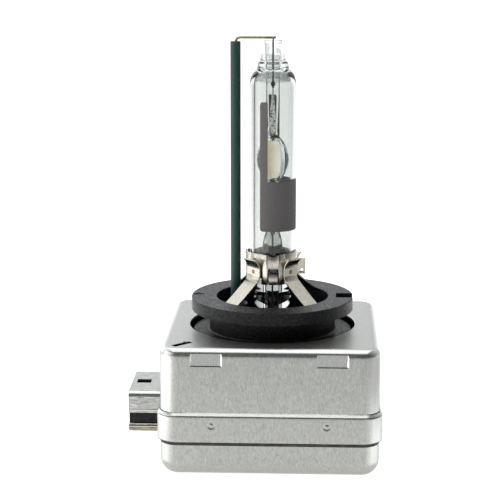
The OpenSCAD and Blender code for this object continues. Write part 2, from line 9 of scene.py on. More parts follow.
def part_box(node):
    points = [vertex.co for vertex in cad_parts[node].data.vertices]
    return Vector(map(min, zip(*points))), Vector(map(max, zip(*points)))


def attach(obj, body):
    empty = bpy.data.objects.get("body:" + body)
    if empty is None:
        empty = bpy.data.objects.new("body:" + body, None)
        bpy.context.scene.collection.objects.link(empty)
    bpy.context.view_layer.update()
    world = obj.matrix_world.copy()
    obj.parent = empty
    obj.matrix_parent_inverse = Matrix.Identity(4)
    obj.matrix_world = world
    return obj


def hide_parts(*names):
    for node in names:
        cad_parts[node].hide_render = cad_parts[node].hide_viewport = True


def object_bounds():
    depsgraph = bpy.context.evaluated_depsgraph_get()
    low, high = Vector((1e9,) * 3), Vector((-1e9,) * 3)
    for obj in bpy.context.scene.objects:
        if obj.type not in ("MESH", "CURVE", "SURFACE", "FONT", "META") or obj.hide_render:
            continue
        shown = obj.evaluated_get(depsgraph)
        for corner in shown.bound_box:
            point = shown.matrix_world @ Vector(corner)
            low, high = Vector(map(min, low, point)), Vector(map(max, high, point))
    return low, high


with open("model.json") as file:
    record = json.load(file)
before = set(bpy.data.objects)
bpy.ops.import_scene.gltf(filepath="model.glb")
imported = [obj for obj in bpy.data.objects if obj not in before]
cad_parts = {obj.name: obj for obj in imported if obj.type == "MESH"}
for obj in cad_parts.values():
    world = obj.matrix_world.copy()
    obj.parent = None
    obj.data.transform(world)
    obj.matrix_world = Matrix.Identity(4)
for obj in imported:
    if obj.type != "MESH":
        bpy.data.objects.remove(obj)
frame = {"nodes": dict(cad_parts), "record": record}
cad_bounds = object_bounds()

MM = 0.001
BODY = "root"
mounts = {mount["name"]: mount for mount in frame["record"]["mounts"]}


# ---------------------------------------------------------------- shared shapes

def box_mm(node):
    """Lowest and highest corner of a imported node, in millimetres."""
    low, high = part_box(node)
    return low / MM, high / MM


def arc(centre, radius, start, end, steps):
    """Points of an arc in a flat section, from one angle to the other in degrees."""
    angles = [math.radians(start + (end - start) * i / steps) for i in range(steps + 1)]
    return [(centre[0] + radius * math.cos(a), centre[1] + radius * math.sin(a)) for a in angles]


def around(radius, degrees, z):
    """Point at a radius from the Z axis and an angle round it."""
    a = math.radians(degrees)
    return (radius * math.cos(a), radius * math.sin(a), z)


def heading(line, i):
    """Direction of a line of points at its point i."""
    return (line[min(i + 1, len(line) - 1)] - line[max(i - 1, 0)]).normalized()


def smooth_line(points, steps):
    """A soft line through the points, as flame-worked glass or a bent wire takes."""
    ends = [points[0]] + list(points) + [points[-1]]
    line = []
    for a, b, c, d in zip(ends, ends[1:], ends[2:], ends[3:]):
        a, b, c, d = Vector(a), Vector(b), Vector(c), Vector(d)
        for i in range(steps):
            t = i / steps
            line.append(0.5 * (2 * b + (c - a) * t + (2 * a - 5 * b + 4 * c - d) * t * t
                               + (3 * b - a - 3 * c + d) * t ** 3))
    line.append(Vector(points[-1]))
    return line


def loft(rings, closed=False, caps=False):
    """Skin over rings that have the same number of points each."""
    bm = bmesh.new()
    rows = [[bm.verts.new(p) for p in ring] for ring in rings]
    pairs = list(zip(rows, rows[1:]))
    if closed:
        pairs.append((rows[-1], rows[0]))
    for low, high in pairs:
        count = len(low)
        for i in range(count):
            j = (i + 1) % count
            bm.faces.new((low[i], low[j], high[j], high[i]))
    if caps:
        bm.faces.new(rows[0])
        bm.faces.new(rows[-1])
    bmesh.ops.recalc_face_normals(bm, faces=bm.faces)
    return bm


def lathe(profile, steps=128, closed=False):
    """Body of revolution round Z from (radius, height) points; a radius of 0 closes it."""
    bm = bmesh.new()
    turns = [2 * math.pi * i / steps for i in range(steps)]
    rows = []
    for radius, height in profile:
        if radius < 1e-6:
            rows.append([bm.verts.new((0, 0, height))] * steps)
        else:
            rows.append([bm.verts.new((radius * math.cos(a), radius * math.sin(a), height)) for a in turns])
    pairs = list(zip(rows, rows[1:]))
    if closed:
        pairs.append((rows[-1], rows[0]))
    for low, high in pairs:
        for i in range(steps):
            j = (i + 1) % steps
            corners = [low[i], low[j], high[j], high[i]]
            face = [v for k, v in enumerate(corners) if v not in corners[:k]]
            if len(face) > 2:
                bm.faces.new(face)
    bmesh.ops.recalc_face_normals(bm, faces=bm.faces)
    return bm


def sweep(points, radius, sides=24):
    """Round wire along a line of points, with domed ends."""
    points = [Vector(p) for p in points]
    rings = []
    side = Vector((0, 1, 0))
    for i, point in enumerate(points):
        ahead = heading(points, i)
        side = (side - side.dot(ahead) * ahead).normalized()
        up = ahead.cross(side)
        rings.append([point + radius * (math.cos(a) * side + math.sin(a) * up)
                      for a in (2 * math.pi * k / sides for k in range(sides))])
    domes = []
    for ring, end, inner in ((rings[0], points[0], points[1]), (rings[-1], points[-1], points[-2])):
        out = (end - inner).normalized()
        domes.append([[end + out * radius * math.sin(a) + (p - end) * math.cos(a) for p in ring]
                      for a in map(math.radians, (30, 60, 85))])
    return loft(domes[0][::-1] + rings + domes[1], caps=True)


def bar(low, high):
    """Rectangular block between two corners."""
    bm = bmesh.new()
    bmesh.ops.create_cube(bm, size=1)
    low, high = Vector(low), Vector(high)
    for v in bm.verts:
        v.co = Vector(low[k] + (v.co[k] + 0.5) * (high[k] - low[k]) for k in range(3))
    return bm


def turned(bm, degrees, axis="Z", shift=(0, 0, 0)):
    """The same shape, turned about an axis and then moved."""
    move = Matrix.Translation(shift) @ Matrix.Rotation(math.radians(degrees), 4, axis)
    bmesh.ops.transform(bm, matrix=move, verts=bm.verts)
    return bm


def moved(bm, *shift):
    """The same shape, moved by X, Y and Z."""
    return turned(bm, 0, shift=shift)


def drum(radius, low, high, steps):
    """Plain cylinder round Z."""
    return lathe([(0, low), (radius, low), (radius, high), (0, high)], steps=steps)


def raised(base, points):
    """(radius, height) points, with their heights counted from base."""
    return [(radius, base + height) for radius, height in points]


def both_ways(upper):
    """(radius, height) points from the middle up, with their mirror image below."""
    return [(radius, -height) for radius, height in reversed(upper[1:])] + upper


def joined(parts):
    """Several shapes as one; each part may carry the number of its material."""
    whole = bmesh.new()
    for number, part in parts:
        mesh = bpy.data.meshes.new("part")
        for face in part.faces:
            face.material_index = number
        part.to_mesh(mesh)
        part.free()
        whole.from_mesh(mesh)
        bpy.data.meshes.remove(mesh)
    return whole


def cut(bm, cutters):
    """bm less every cutter, by an exact boolean."""
    body = loose_object("body", bm)
    tool = loose_object("tool", joined([(0, cutter) for cutter in cutters]))
    modifier = body.modifiers.new("cut", "BOOLEAN")
    modifier.operation = "DIFFERENCE"
    modifier.solver = "EXACT"
    modifier.use_self = True
    modifier.object = tool
    result = bmesh.new()
    mesh = baked(body)
    result.from_mesh(mesh)
    for thing in (body, tool):
        bpy.data.meshes.remove(thing.data)
    bpy.data.meshes.remove(mesh)
    return result


def loose_object(name, bm):
    """An object of this shape in the scene; the shape is used up."""
    mesh = bpy.data.meshes.new(name)
    bm.to_mesh(mesh)
    bm.free()
    obj = bpy.data.objects.new(name, mesh)
    bpy.context.scene.collection.objects.link(obj)
    return obj


def baked(obj):
    """The object's mesh with its modifiers applied."""
    bpy.context.view_layer.update()
    return bpy.data.meshes.new_from_object(obj.evaluated_get(bpy.context.evaluated_depsgraph_get()))


def bake_in_place(obj):
    """The object keeps its name and takes the mesh that its modifiers make."""
    rough = obj.data
    obj.data = baked(obj)
    obj.modifiers.clear()
    bpy.data.meshes.remove(rough)
    obj.data.name = obj.name


def piece(name, bm, finishes, stands_for=(), edge=0.0, sharp=35):
    """A finished piece from a shape in millimetres: edges eased by edge, curved faces shaded smooth."""
    bmesh.ops.scale(bm, vec=(MM, MM, MM), verts=bm.verts)
    obj = loose_object(name, bm)
    obj.data.shade_smooth()
    if edge:
        ease = obj.modifiers.new("eased edges", "BEVEL")
        ease.width = edge * MM
        ease.segments = 2
        ease.limit_method = "ANGLE"
        ease.angle_limit = math.radians(sharp)
        bake_in_place(obj)
    obj.data.set_sharp_from_angle(angle=math.radians(sharp))
    if edge:
        flats = obj.modifiers.new("flats stay flat", "WEIGHTED_NORMAL")
        flats.keep_sharp = True
        bake_in_place(obj)
    for finish in finishes if isinstance(finishes, (list, tuple)) else [finishes]:
        obj.data.materials.append(finish)
    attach(obj, BODY)
    if stands_for:
        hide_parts(*stands_for)
    return obj


# ---------------------------------------------------------------- camera, light and floor

def place_camera():
    """Long lens, a little above the lamp and looking slightly down on it."""
    data = bpy.data.cameras.new("camera")
    data.lens = 118.6
    data.sensor_width = 36
    data.clip_start = 0.01
    camera = bpy.data.objects.new("camera", data)
    camera.location = (0.00907, -0.31598, 0.07439)
    camera.rotation_euler = (math.radians(78.313), 0, math.radians(2.445))
    bpy.context.scene.collection.objects.link(camera)
    bpy.context.scene.camera = camera


def soft_box(name, place, aim, size, power):
    """White studio light with a soft face of this size, turned to the point it is aimed at."""
    data = bpy.data.lights.new(name, "AREA")
    data.shape = "RECTANGLE"
    data.size, data.size_y = size
    data.energy = power
    light = bpy.data.objects.new(name, data)
    light.location = place
    light.rotation_euler = (Vector(aim) - Vector(place)).to_track_quat("-Z", "Y").to_euler()
    bpy.context.scene.collection.objects.link(light)


def studio():
    """White sweep, bright behind and on the left; the front and the right side fall off into shade."""
    soft_box("top box", place=(0, 0.05, 0.6), aim=(0, 0, 0), size=(0.7, 0.8), power=2.1)
    soft_box("left box", place=(-0.26, -0.12, 0.09), aim=(0, 0, -0.01), size=(0.3, 0.22), power=0.2)
    world = bpy.data.worlds.new("studio")
    world.use_nodes = True
    tree = world.node_tree
    tree.nodes.clear()
    where = axes(tree, add(tree, "ShaderNodeTexCoord").outputs["Generated"])

    def fall_off(axis, start, end, start_light, end_light):
        """Light that changes softly between two places along an axis."""
        return add(tree, "ShaderNodeMapRange", {"Value": where[axis], "From Min": start, "From Max": end,
                   "To Min": start_light, "To Max": end_light}, interpolation_type="SMOOTHSTEP").outputs[0]

    strength = times(tree, fall_off("Y", -0.7, 0.9, 0.22, 1.7), fall_off("X", -0.9, 0.8, 1.1, 0.45))
    light = add(tree, "ShaderNodeBackground", {"Color": hex_colour("#F6F8FA"), "Strength": strength})
    add(tree, "ShaderNodeOutputWorld", {"Surface": light.outputs[0]})
    bpy.context.scene.world = world
    bpy.context.scene.view_settings.view_transform = "Standard"


def lay_floor():
    """Round sheet of paper under the lamp, wide enough to have no edge in sight."""
    bm = bmesh.new()
    bmesh.ops.create_circle(bm, cap_ends=True, segments=96, radius=12)
    floor = loose_object("floor", bm)
    floor.location.z = cad_bounds[0][2]
    floor.data.materials.append(white_paper())


# ---------------------------------------------------------------- materials

def hex_colour(code):
    """Linear colour from an sRGB hex value."""
    parts = [int(code[i:i + 2], 16) / 255 for i in (1, 3, 5)]
    return tuple(c / 12.92 if c <= 0.04045 else ((c + 0.055) / 1.055) ** 2.4 for c in parts) + (1.0,)


def add(tree, kind, inputs=None, **settings):
    """One node with its settings, and its inputs as values or as sockets to link."""
    node = tree.nodes.new(kind)
    for name, value in settings.items():
        setattr(node, name, value)
    for name, value in (inputs or {}).items():
        if isinstance(value, bpy.types.NodeSocket):
            tree.links.new(value, node.inputs[name])
        else:
            node.inputs[name].default_value = value
    return node


def axes(tree, vector):
    """X, Y and Z of a vector, as sockets by name."""
    return add(tree, "ShaderNodeSeparateXYZ", {"Vector": vector}).outputs


def maths(tree, operation, *values):
    """Result of one step of arithmetic on values or sockets."""
    return add(tree, "ShaderNodeMath", dict(enumerate(values)), operation=operation).outputs[0]


def times(tree, first, *others):
    """Product of values or sockets."""
    for other in others:
        first = maths(tree, "MULTIPLY", first, other)
    return first


def coat(tree, shader, colour, roughness):
    """The shader's colour and roughness, each from a pattern."""
    tree.links.new(colour, shader.inputs["Base Color"])
    tree.links.new(roughness, shader.inputs["Roughness"])


def new_finish(name, **sockets):
    """A material with one Principled shader; returns the material, its tree and the shader."""
    material = bpy.data.materials.new(name)
    material.use_nodes = True
    tree = material.node_tree
    tree.nodes.clear()
    shader = add(tree, "ShaderNodeBsdfPrincipled", {k.replace("_", " "): v for k, v in sockets.items()})
    add(tree, "ShaderNodeOutputMaterial", {"Surface": shader.outputs[0]})
    return material, tree, shader


def grain(tree, size, stretch=(1, 1, 1), detail=4):
    """Noise whose features are size millimetres across, drawn out by stretch along each axis."""
    where = add(tree, "ShaderNodeTexCoord")
    scale = [1 / s for s in stretch]
    placed = add(tree, "ShaderNodeMapping", {"Vector": where.outputs["Object"], "Scale": scale})
    return add(tree, "ShaderNodeTexNoise", {"Vector": placed.outputs[0], "Scale": 1 / (size * MM),
               "Detail": detail, "Roughness": 0.6}).outputs["Fac"]


def ramp(tree, value, low, high, from_range=(0.3, 0.7)):
    """value mapped from a range to the range low to high, and held at its ends."""
    return add(tree, "ShaderNodeMapRange", {"Value": value, "From Min": from_range[0],
               "From Max": from_range[1], "To Min": low, "To Max": high}).outputs[0]


def blend_colours(tree, value, low, high, from_range=(0.3, 0.7)):
    """Colour that goes from low to high as value crosses a range."""
    share = ramp(tree, value, 0.0, 1.0, from_range)
    return add(tree, "ShaderNodeMix", {0: share, 6: hex_colour(low), 7: hex_colour(high)},
               data_type="RGBA").outputs[2]


def bump(tree, shader, height, depth):
    """Relief of depth millimetres on the shader's normal."""
    relief = add(tree, "ShaderNodeBump", {"Height": height, "Strength": 1.0, "Distance": depth * MM})
    tree.links.new(relief.outputs[0], shader.inputs["Normal"])


def bend_highlight_share(tree):
    """Share of the painted highlight on the sheet: 1 on a bend or a corner, 0 on the flats and on faces
    turned down.
    """
    normal = add(tree, "ShaderNodeNewGeometry").outputs["Normal"]
    spread = axes(tree, add(tree, "ShaderNodeVectorMath", {0: normal}, operation="ABSOLUTE").outputs[0])
    widest = maths(tree, "MAXIMUM", maths(tree, "MAXIMUM", spread["X"], spread["Y"]), spread["Z"])
    bent = ramp(tree, widest, 0.0, 1.0, (0.98, 0.82))
    # The painted highlight stays off faces turned down.
    upper = ramp(tree, axes(tree, normal)["Z"], 0.0, 1.0, (-0.2, -0.02))
    return times(tree, bent, upper)


def sheet_with_painted_bend_highlight(tree, shader, colour, roughness):
    """Sheet colour and roughness on the flats; on the bends and corners a paler colour, a painted highlight,
    with a smoother roughness.
    """
    share = bend_highlight_share(tree)
    # Painted highlight: #D2D3D0 is the paler colour given to bends and corners.
    painted_highlight_colour, bend_roughness = hex_colour("#D2D3D0"), 0.17
    shade = add(tree, "ShaderNodeMix", {0: share, 6: colour, 7: painted_highlight_colour}, data_type="RGBA")
    gloss = add(tree, "ShaderNodeMix", {0: share, 2: roughness, 3: bend_roughness})
    coat(tree, shader, shade.outputs[2], gloss.outputs[0])


def white_paper():
    """Seamless studio paper: matt and near white, glowing until it burns out to white, with painted light in
    the glow: a painted pool of light on the lamp's left and painted shade on its right.
    """
    material, tree, shader = new_finish("matt white paper", Roughness=0.9, IOR=1.5,
                                        Emission_Color=(1, 1, 1, 1))
    tree.links.new(blend_colours(tree, grain(tree, 4.0), "#CACACA", "#D0D0D0"), shader.inputs["Base Color"])
    where = axes(tree, add(tree, "ShaderNodeTexCoord").outputs["Object"])

    def painted_patch(start_x, end_x, front, back):
        """1 in a soft patch that grows from start_x to end_x, between two depths, 0 elsewhere: the mask of a
        painted pool of light or of painted shade.
        """
        return times(tree, ramp(tree, where["X"], 0.0, 1.0, (start_x, end_x)),
                     ramp(tree, where["Y"], 0.0, 1.0, (front, front + 0.05)),
                     ramp(tree, where["Y"], 1.0, 0.0, (back - 0.03, back)))

    # Painted light in the paper's glow: full in a lane through the lamp and weaker to the sides, rising
    # towards the lamp's foot to hide its shadow, none far in front.
    aside = maths(tree, "ABSOLUTE", where["X"])
    lane_edge = maths(tree, "ADD", aside, times(tree, where["Y"], -0.19))
    lane = ramp(tree, lane_edge, 1.0, 0.4, (0.09, 0.25))
    level = ramp(tree, where["Y"], 0.55, 0.88, (-0.1, -0.015))
    near = ramp(tree, where["Y"], 0.0, 1.0, (-0.32, -0.15))
    # Painted shade: the glow drops to a tenth in a patch right of the lamp.
    shade = ramp(tree, painted_patch(0.045, 0.075, -0.16, 0.06), 1.0, 0.1, (0.0, 1.0))
    strength = times(tree, lane, level, near, shade)
    # Painted pool of light: extra glow in a patch left of the lamp.
    strength = maths(tree, "MULTIPLY_ADD", painted_patch(-0.045, -0.065, -0.2, 0.015), 1.2, strength)
    tree.links.new(strength, shader.inputs["Emission Strength"])
    return material


def fused_quartz(name="flame-worked fused quartz", tint="#F8FAFA"):
    """Fused quartz, flame-worked: clear and glossy, with slow waves where the flame softened it."""
    material, tree, shader = new_finish(name, Base_Color=hex_colour(tint), Roughness=0.0, IOR=1.458,
                                        Transmission_Weight=1.0)
    bump(tree, shader, grain(tree, 3.0, (1, 1, 4), detail=1), 0.012)
    return material


def drawn_tungsten():
    """Drawn tungsten: dark grey, half gloss."""
    material, tree, shader = new_finish("drawn tungsten", Metallic=1.0)
    coat(tree, shader, blend_colours(tree, grain(tree, 0.1, (1, 1, 20)), "#55555A", "#6E6E72"),
         ramp(tree, grain(tree, 0.2), 0.3, 0.45))
    return material


def rolled_molybdenum():
    """Rolled molybdenum wire: grey with a dull sheen and faint rolling lines."""
    material, tree, shader = new_finish("rolled molybdenum", Metallic=1.0)
    coat(tree, shader, blend_colours(tree, grain(tree, 0.15, (1, 1, 15)), "#4A4A4C", "#77777A"),
         ramp(tree, grain(tree, 0.3), 0.35, 0.5))
    return material


def bright_foil():
    """Etched molybdenum foil, bright where the quartz wets it, with dark creases."""
    material, tree, shader = new_finish("etched molybdenum foil", Metallic=1.0)
    coat(tree, shader, blend_colours(tree, grain(tree, 0.4), "#4C4B48", "#FFFEFC", (0.36, 0.5)),
         ramp(tree, grain(tree, 0.2), 0.25, 0.45))
    bump(tree, shader, grain(tree, 0.3, (1, 1, 2)), 0.12)
    return material


def metal_salts():
    """Frozen metal salts: cream, waxy and patchy, with painted light: a glow in the cream colour, and paler
    towards +X, the side that the light comes through.
    """
    # Emission strength 0.7 is a painted glow.
    material, tree, shader = new_finish("frozen metal salts", IOR=1.6, Specular_IOR_Level=0.2,
                                        Emission_Strength=0.7)
    across = axes(tree, add(tree, "ShaderNodeTexCoord").outputs["Object"])["X"]
    # Painted light: the cream is paler towards +X.
    painted_light_across = ramp(tree, across, -0.35, 0.35, (-1.0 * MM, 1.0 * MM))
    cream = blend_colours(tree, maths(tree, "ADD", grain(tree, 0.8), painted_light_across), "#E5DDC6", "#FCFBF6")
    coat(tree, shader, cream, ramp(tree, grain(tree, 0.3), 0.45, 0.7))
    tree.links.new(cream, shader.inputs["Emission Color"])
    glow = add(tree, "ShaderNodeBsdfTranslucent", {"Color": cream})
    film = add(tree, "ShaderNodeMixShader", {0: 0.5, 1: shader.outputs[0], 2: glow.outputs[0]})
    output = next(node for node in tree.nodes if node.type == "OUTPUT_MATERIAL")
    tree.links.new(film.outputs[0], output.inputs["Surface"])
    return material


def fired_matt_enamel():
    """Anti-glare enamel, sprayed and fired: warm grey, dead matt, with a fine sprayed grain."""
    material, tree, shader = new_finish("fired matt enamel", IOR=1.5)
    coat(tree, shader, blend_colours(tree, grain(tree, 0.25), "#615D5D", "#696565"),
         ramp(tree, grain(tree, 0.4), 0.7, 0.85))
    bump(tree, shader, grain(tree, 0.12), 0.01)
    return material


def green_ceramic():
    """Green fired ceramic tube: half matt, with a fine fired grain and slow shade along its length."""
    material, tree, shader = new_finish("green fired ceramic", IOR=1.6, Specular_IOR_Level=0.35)
    coat(tree, shader, blend_colours(tree, grain(tree, 1.2, (1, 1, 6)), "#1B3C36", "#23463F"),
         ramp(tree, grain(tree, 0.3), 0.38, 0.55))
    bump(tree, shader, grain(tree, 0.15), 0.006)
    return material


def nickel_wire():
    """Drawn nickel-alloy wire with lengthwise drawing lines, and painted light: pale straw on faces turned
    up, browner on faces turned down.
    """
    material, tree, shader = new_finish("drawn nickel wire", Metallic=1.0)
    up = axes(tree, add(tree, "ShaderNodeNewGeometry").outputs["Normal"])["Z"]
    # Painted light from above: the colour follows how far each face turns up.
    lit_from_above = maths(tree, "ADD", up, grain(tree, 0.3, (12, 1, 12)))
    coat(tree, shader, blend_colours(tree, lit_from_above, "#5E563C", "#E9E2CA", (0.0, 0.9)),
         ramp(tree, grain(tree, 0.3), 0.2, 0.35))
    return material


def rolled_stainless(name="rolled stainless strip", dark="#A09B8F", light="#DAD6CB"):
    """Rolled stainless strip, blanked and bent: warm grey, satin, with fine rolling lines."""
    material, tree, shader = new_finish(name, Metallic=1.0)
    coat(tree, shader, blend_colours(tree, grain(tree, 0.14, (1, 1, 2)), dark, light),
         ramp(tree, grain(tree, 0.4, (1, 1, 3)), 0.16, 0.26))
    bump(tree, shader, grain(tree, 0.16, (1, 1, 2)), 0.004)
    return material


def weld_burn():
    """Spot weld in stainless: straw to brown heat colours round a small rough nugget."""
    return rolled_stainless("heat-tinted spot weld", "#6E5140", "#98765A")


def glass_filled_moulding():
    """Glass-filled black moulding compound: matt charcoal, its skin broken by fine fibre ends."""
    material, tree, shader = new_finish("glass-filled black moulding", IOR=1.55, Specular_IOR_Level=0.2)
    flecks = grain(tree, 0.5, (1, 4, 1), detail=5)
    coat(tree, shader, blend_colours(tree, flecks, "#040404", "#262628", (0.4, 0.65)),
         ramp(tree, flecks, 0.5, 0.34))
    bump(tree, shader, grain(tree, 0.45, (1, 3, 1)), 0.09)
    return material


def lip_with_painted_highlight():
    """Lip of the black moulding: the same compound with a half gloss, in a paler colour that is a painted
    highlight.
    """
    material, tree, shader = new_finish("moulding lip with painted highlight", IOR=1.55)
    # Painted highlight: #1C1C1D to #3A3A3A is paler than the moulding.
    coat(tree, shader, blend_colours(tree, grain(tree, 0.4), "#1C1C1D", "#3A3A3A"),
         ramp(tree, grain(tree, 0.2), 0.2, 0.35))
    return material


def drawn_tin_plate():
    """Deep-drawn tin-plated sheet: satin grey-white metal with fine upright draw marks and a tight grain."""
    material, tree, shader = new_finish("deep-drawn tin plate", Metallic=1.0)
    streaks = blend_colours(tree, grain(tree, 0.2, (1, 1, 3), detail=6), "#979894", "#B7B8B4")
    # Bends and corners get a painted highlight.
    sheet_with_painted_bend_highlight(tree, shader, streaks, ramp(tree, grain(tree, 0.5, (1, 1, 3)), 0.28, 0.4))
    bump(tree, shader, grain(tree, 0.28, (1, 1, 1.6), detail=6), 0.02)
    return material


def scuffed_tin_plate(name="scuffed folded tin plate", dark="#82837E", light="#C2C3C0"):
    """Folded tin-plated sheet of the socket, scuffed along its length by the press tool."""
    material, tree, shader = new_finish(name, Metallic=1.0)
    scuffs = grain(tree, 0.25, (5, 1, 1), detail=5)
    # Bends and corners get a painted highlight.
    sheet_with_painted_bend_highlight(tree, shader, blend_colours(tree, scuffs, dark, light), ramp(tree, scuffs, 0.42, 0.25))
    bump(tree, shader, grain(tree, 0.3, (2, 1, 1), detail=5), 0.012)
    return material


def painted_crevice_shade():
    """Painted shade: a dull dark line where two sheets meet, or in a recess, where shadow falls."""
    material, tree, shader = new_finish("painted shade in the crevice", Metallic=1.0)
    coat(tree, shader, blend_colours(tree, grain(tree, 0.6, (3, 3, 1)), "#2E2D2A", "#5A5954"),
         ramp(tree, grain(tree, 0.3), 0.5, 0.7))
    return material


def stamped_brass():
    """Stamped and plated contact brass: yellow metal, satin."""
    material, tree, shader = new_finish("stamped contact brass", Metallic=1.0)
    coat(tree, shader, blend_colours(tree, grain(tree, 0.5, (5, 1, 1)), "#C9A65A", "#DDC07A"),
         ramp(tree, grain(tree, 0.4), 0.25, 0.4))
    return material


def plain_finish(name, low, high, size, roughness):
    """Finish of a hidden igniter part: two close shades in a grain of size millimetres."""
    material, tree, shader = new_finish(name)
    coat(tree, shader, blend_colours(tree, grain(tree, size), low, high),
         ramp(tree, grain(tree, 2 * size), *roughness))
    bump(tree, shader, grain(tree, size), 0.004)
    return material


def wound_wire():
    """Enamelled copper wire, wound: copper brown with the turns as close ridges across X."""
    material, tree, shader = new_finish("enamelled copper winding", Metallic=0.9, Roughness=0.35)
    where = add(tree, "ShaderNodeTexCoord").outputs["Object"]
    pitch, bands_per_unit = 0.35 * MM, 20
    turns = add(tree, "ShaderNodeTexWave", {"Vector": where, "Scale": 1 / pitch / bands_per_unit,
                "Distortion": 0.6}, bands_direction="X").outputs["Fac"]
    tree.links.new(blend_colours(tree, turns, "#6B3A1C", "#B8723C"), shader.inputs["Base Color"])
    bump(tree, shader, turns, 0.06)
    return material


QUARTZ = fused_quartz()
DOPED_QUARTZ = fused_quartz("ultraviolet-stopping doped quartz", "#DDDFDD")
TUNGSTEN = drawn_tungsten()
MOLYBDENUM = rolled_molybdenum()
FOIL = bright_foil()
SALTS = metal_salts()
ENAMEL = fired_matt_enamel()
CERAMIC = green_ceramic()
NICKEL = nickel_wire()
STAINLESS = rolled_stainless()
WELD = weld_burn()
MOULDING = glass_filled_moulding()
LIP_HIGHLIGHT = lip_with_painted_highlight()
TIN_PLATE = drawn_tin_plate()
SCUFFED = scuffed_tin_plate()
STAINED = scuffed_tin_plate("oil-stained folded tin plate", "#66614E", "#A5A08E")
CREVICE_SHADE = painted_crevice_shade()
BRASS = stamped_brass()
SILICONE = plain_finish("moulded green silicone", "#0B3326", "#124433", 0.4, (0.55, 0.7))
RESIN = plain_finish("cast potting resin", "#332D29", "#3F3833", 1.5, (0.3, 0.5))
FERRITE = plain_finish("sintered ferrite", "#2F2F31", "#3A3A3D", 0.2, (0.5, 0.65))
BOBBIN = plain_finish("moulded bobbin nylon", "#B9AB90", "#C8BCA3", 0.8, (0.4, 0.55))
COPPER = wound_wire()
WHITE_CERAMIC = plain_finish("fired white ceramic", "#E6E3DC", "#F0EEE9", 0.5, (0.45, 0.6))
DIPPED = plain_finish("dipped capacitor lacquer", "#B58D3C", "#C7A152", 1.0, (0.2, 0.35))
LACQUER = plain_finish("resistor lacquer", "#8FA9B5", "#A4BBC4", 0.5, (0.25, 0.4))


# ---------------------------------------------------------------- glass burner

STEM_R = 1.3
GLASS_GAP = 0.02
WALL = 0.95


def outer_bulb():
    """Quartz tube, worked down at each end in a ridge and a sealed neck on the arc tube's stem."""
    low, high = box_mm("outer_bulb")
    radius, stem = high.x, STEM_R + GLASS_GAP
    bore = radius - WALL
    neck = raised(high.z, [(stem, 0), (2.2, 0), (2.38, -0.12), (2.45, -0.9), (2.5, -1.35)])
    ridge = raised(high.z, [(2.85, -1.55), (2.98, -1.8), (3.02, -2.3), (3.12, -2.75)])
    shoulder = raised(high.z, [(3.35, -3.1), (3.75, -3.5), (4.08, -3.95), (4.33, -4.6), (4.46, -5.4),
                               (radius, -6.4)])
    foot = raised(low.z, [(radius, 9.2), (4.42, 8.4), (4.0, 7.4), (3.55, 6.7), (3.42, 6.0), (3.5, 5.4),
                          (3.72, 4.9), (3.78, 4.4), (3.6, 3.8), (3.1, 3.1), (2.65, 2.5), (2.42, 1.7),
                          (2.4, 0.1), (2.3, 0), (stem, 0)])
    inside = raised(low.z, [(stem, 18.2), (1.45, 17.7), (1.75, 16.6), (2.05, 14.7), (2.3, 12.6),
                            (2.6, 11.0), (2.95, 10.2), (3.35, 10.1), (bore, 11.0)])
    inside += raised(high.z, [(bore, -6.0), (3.5, -5.2), (3.3, -4.5), (2.9, -3.9), (2.4, -3.45),
                              (1.9, -3.1), (stem, -2.9)])
    profile = []
    for line, steps in ((neck, 4), (ridge, 4), (shoulder, 5), (foot, 4), (inside, 5)):
        profile += smooth_line(line, steps)
    piece("quartz_outer_bulb", lathe(profile, closed=True), DOPED_QUARTZ, ["outer_bulb"],
          sharp=60)


def bulge(radius, half, neck, centre_z, steps):
    """Right-hand half of a spindle, from its lower neck to its upper neck."""
    swell = radius - neck
    big = (half * half + swell * swell) / (2 * swell)
    reach = math.degrees(math.asin(half / big))
    return arc((radius - big, centre_z), big, -reach, reach, steps)


def arc_tube():
    """Arc tube with its stems, flared at both ends, round a spindle-shaped cavity."""
    low, high = box_mm("arc_tube")
    bulb_low, bulb_high = box_mm("outer_bulb")
    centre_z = arc_centre_z()
    foot = raised(low.z, [(0, 0), (1.7, 0), (1.78, 0.1), (1.68, 1)])
    foot += raised(bulb_low.z, [(1.62, -0.3), (STEM_R, -0.05)])
    body = bulge(radius=3.1, half=4.25, neck=STEM_R, centre_z=centre_z, steps=40)
    top = raised(bulb_high.z, [(STEM_R, 0.05), (1.6, 0.1), (1.62, 0.6)])
    top += raised(high.z, [(1.68, -0.8), (1.78, -0.1), (1.7, 0), (0, 0)])
    skin = lathe(foot + body + top)
    wall = both_ways([(1.6, 0), (1.57, 1.2), (1.4, 2.5), (1.05, 3.4), (0.5, 3.85), (0, 3.95)])
    cavity = lathe(smooth_profile(wall, centre_z))
    bmesh.ops.reverse_faces(cavity, faces=cavity.faces)
    piece("quartz_arc_tube", joined([(0, skin), (0, cavity)]), QUARTZ, ["arc_tube"], sharp=60)


def arc_centre_z():
    """Height of the arc: halfway between the electrode tips."""
    return (box_mm("upper_electrode")[0].z + box_mm("lower_electrode")[1].z) / 2


def smooth_profile(points, centre_z):
    """Softened profile of (radius, height above centre_z) points, never left of the axis."""
    return [(max(p.x, 0), p.y + centre_z) for p in smooth_line(points, 4)]


def salts_film():
    """Salts frozen as a thin film on the cavity wall, open on the right."""
    thickness = 0.05
    outer = smooth_profile(both_ways([(1.56, 0), (1.53, 1.2), (1.36, 2.4), (0.95, 3.4)]), arc_centre_z())
    section = outer + [(radius - thickness, height) for radius, height in reversed(outer)]
    rings = [[around(r, turn, z) for r, z in section] for turn in range(30, 331, 6)]
    piece("salts_film", loft(rings, caps=True), SALTS, ["halide_salts"], sharp=50)


def set_back(distance, corner):
    """How far a rounded corner stands back from its edge, at a distance from its side."""
    if distance >= corner:
        return 0
    return corner - math.sqrt(max(corner ** 2 - (corner - distance) ** 2, 0))


